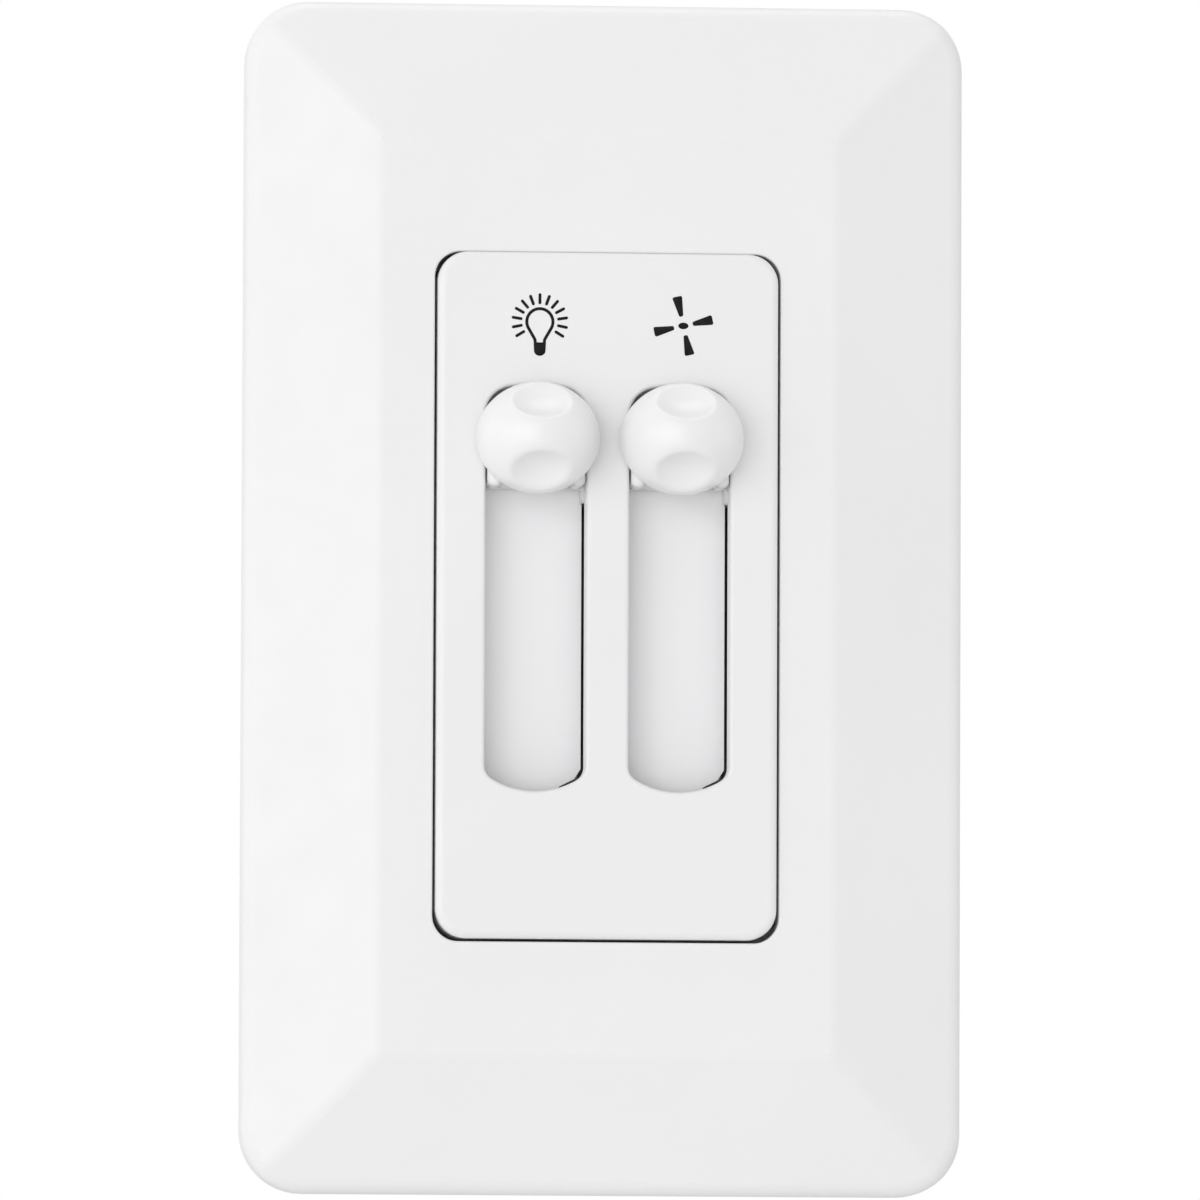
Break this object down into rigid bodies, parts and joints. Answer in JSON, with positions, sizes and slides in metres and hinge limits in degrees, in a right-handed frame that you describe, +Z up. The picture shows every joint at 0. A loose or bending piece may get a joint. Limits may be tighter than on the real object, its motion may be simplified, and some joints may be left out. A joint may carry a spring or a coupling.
{
  "type": "dual slide dimmer and fan speed wall switch",
  "caption": "White decorator wall control with a sloped cover, a lamp dimmer slide and a fan speed slide with scooped ball knobs, on a steel yoke with a rear housing.",
  "frame": {"origin": "midway between the two box screws, on the wall plane, where the yoke's back face and the cover's back rim lie", "axes": "+X to the right seen from the room, +Z up, +Y into the wall, so the front faces -Y"},
  "size_m": [0.069, 0.0472, 0.1142],
  "materials": {
    "cover_white": "smooth fine satin moulding",
    "adapter_white": "plain moulded back frame",
    "bezel_white": "smooth satin moulding with black printed pictograms",
    "bed_white": "smooth satin moulding",
    "slider_white": "smooth gloss moulding",
    "yoke_steel": "dark plated pressed sheet",
    "screw_steel": "bright zinc-plated",
    "adapter_screw_white": "white painted heads",
    "retainer_fibre": "clear-drying fibre sheet",
    "ground_green": "green passivated",
    "sheet_fibre": "dark fibre sheet",
    "housing_grey": "fine-grained moulding",
    "terminal_brass": "punched brass",
    "board_laminate": "paper laminate",
    "case_steel": "tinned steel",
    "base_laminate": "brown laminate",
    "lever_black": "moulded black",
    "capacitor_yellow": "moulded box",
    "capacitor_blue": "moulded box",
    "core_cream": "coated powder core",
    "winding_copper": "enamelled copper",
    "epoxy_black": "moulded epoxy",
    "resistor_tan": "lacquered body",
    "diac_blue": "lacquered body"
  },
  "bodies": {
    "frame": {"cover_plate": "cover_white", "adapter_frame": "adapter_white", "adapter_screws": "adapter_screw_white", "control_bezel": "bezel_white", "slide_bed": "bed_white", "mounting_yoke": "yoke_steel", "box_screws": "screw_steel", "screw_retainers": "retainer_fibre", "ground_screw": "ground_green", "insulating_sheet": "sheet_fibre", "rear_housing": "housing_grey", "housing_screws": "screw_steel", "terminal_plates": "terminal_brass", "terminal_screws": "terminal_brass", "circuit_board": "board_laminate", "dimmer_slide_case": "case_steel", "dimmer_slide_base": "base_laminate", "fan_switch_case": "case_steel", "fan_switch_base": "base_laminate", "large_speed_capacitor": "capacitor_yellow", "small_speed_capacitor": "capacitor_yellow", "noise_capacitor": "capacitor_blue", "choke_core": "core_cream", "choke_winding": "winding_copper", "triac": "epoxy_black", "triac_screw": "screw_steel", "resistors": "resistor_tan", "diac": "diac_blue"},
    "dimmer_slider": {"dimmer_knob": "slider_white", "dimmer_carriage": "slider_white", "dimmer_slide_lever": "lever_black"},
    "fan_slider": {"fan_knob": "slider_white", "fan_carriage": "slider_white", "fan_switch_lever": "lever_black"}
  },
  "joints": [
    {"name": "dimmer_slide", "type": "slide", "parent": "frame", "child": "dimmer_slider", "axis": [0, 0, 1], "range_m": [-0.0274, 0]},
    {"name": "fan_slide", "type": "slide", "parent": "frame", "child": "fan_slider", "axis": [0, 0, 1], "range_m": [-0.0274, 0]}
  ]
}
